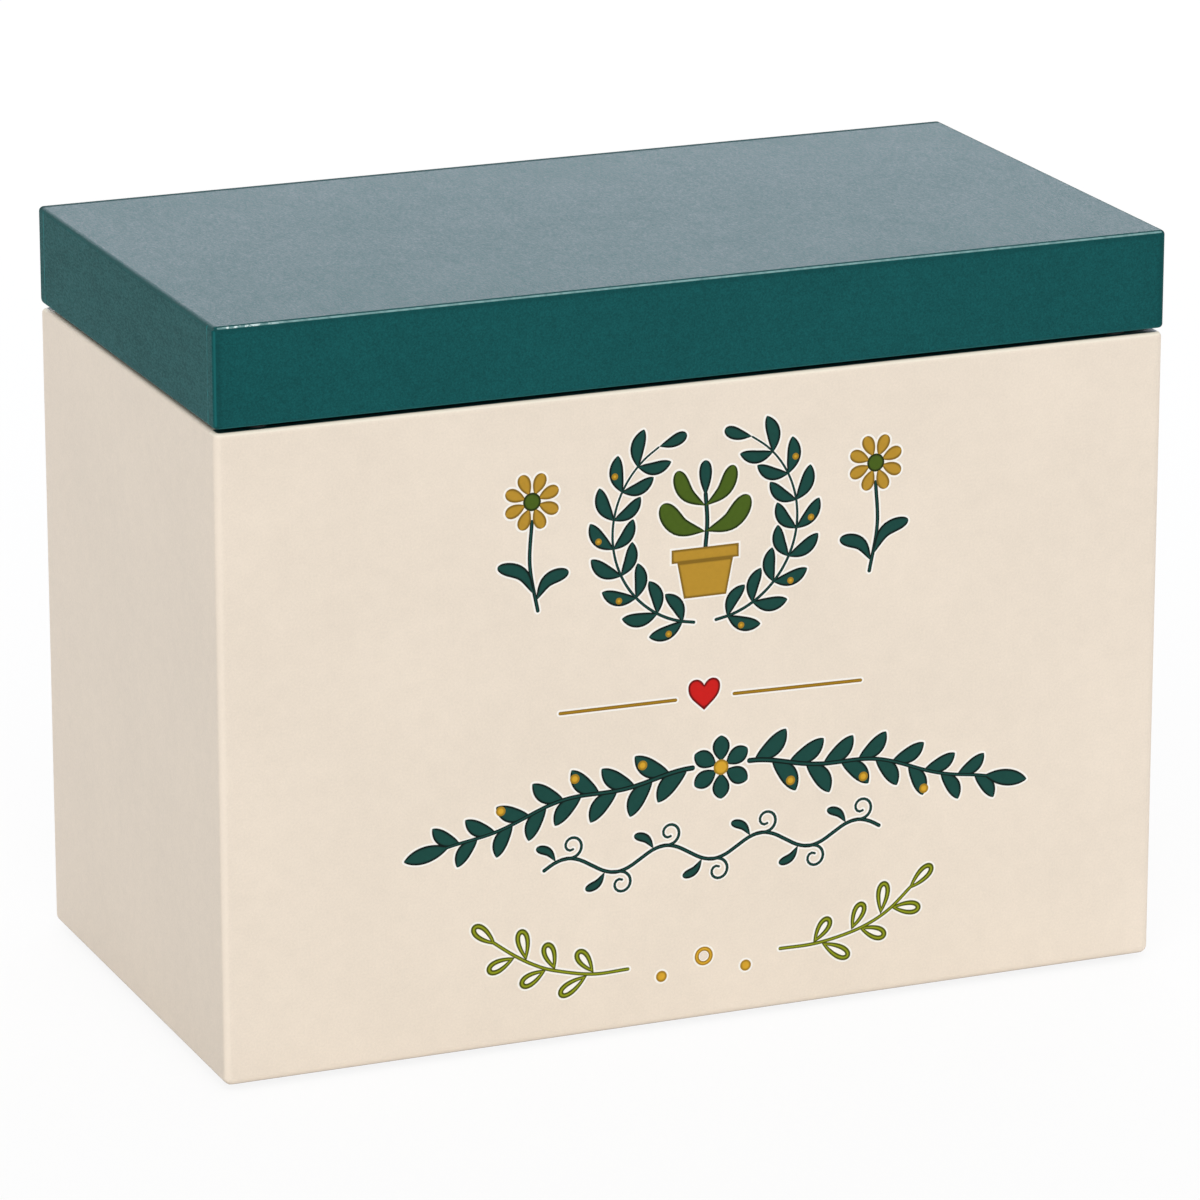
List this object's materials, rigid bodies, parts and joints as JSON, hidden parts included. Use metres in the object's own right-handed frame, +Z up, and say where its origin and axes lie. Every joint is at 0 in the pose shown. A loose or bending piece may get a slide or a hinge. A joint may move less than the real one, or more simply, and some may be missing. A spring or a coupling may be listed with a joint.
{
  "type": "garden seed organizer box",
  "caption": "Painted wooden box for seed packets with a hinged lid, grooved walls and lift-out dividers.",
  "frame": {"origin": "middle of the plane that the feet rest on", "axes": "+X along the box's width, -Y towards the printed front, +Z up"},
  "size_m": [0.25, 0.132, 0.1915],
  "materials": {
    "cream_paint": "painted board, satin",
    "green_paint": "painted board, satin",
    "birch_ply": "oiled, matt",
    "brass": "polished",
    "bumper_rubber": "matt",
    "felt": "pressed felt"
  },
  "bodies": {
    "box": {"front_panel": "cream_paint", "back_panel": "cream_paint", "left_panel": "cream_paint", "right_panel": "cream_paint", "base_panel": "cream_paint", "left_hinge_body_leaf": "brass", "right_hinge_body_leaf": "brass", "left_hinge_pin": "brass", "right_hinge_pin": "brass", "body_screws": "brass", "rim_bumpers": "bumper_rubber", "felt_feet": "felt"},
    "lid": {"lid_top": "green_paint", "lid_front_rail": "green_paint", "lid_back_rail": "green_paint", "lid_left_rail": "green_paint", "lid_right_rail": "green_paint", "left_hinge_lid_leaf": "brass", "right_hinge_lid_leaf": "brass", "lid_screws": "brass"},
    "divider_1": {"divider_1": "birch_ply"},
    "divider_2": {"divider_2": "birch_ply"},
    "divider_3": {"divider_3": "birch_ply"},
    "divider_4": {"divider_4": "birch_ply"}
  },
  "joints": [
    {"name": "lid_hinge", "type": "hinge", "parent": "box", "child": "lid", "pos_m": [0, 0.0632, 0.166], "axis": [-1, 0, 0], "range_deg": [0, 95]},
    {"name": "divider_1_lift", "type": "slide", "parent": "box", "child": "divider_1", "axis": [0, 0, 1], "range_m": [0, 0.03]},
    {"name": "divider_2_lift", "type": "slide", "parent": "box", "child": "divider_2", "axis": [0, 0, 1], "range_m": [0, 0.03]},
    {"name": "divider_3_lift", "type": "slide", "parent": "box", "child": "divider_3", "axis": [0, 0, 1], "range_m": [0, 0.03]},
    {"name": "divider_4_lift", "type": "slide", "parent": "box", "child": "divider_4", "axis": [0, 0, 1], "range_m": [0, 0.03]}
  ]
}
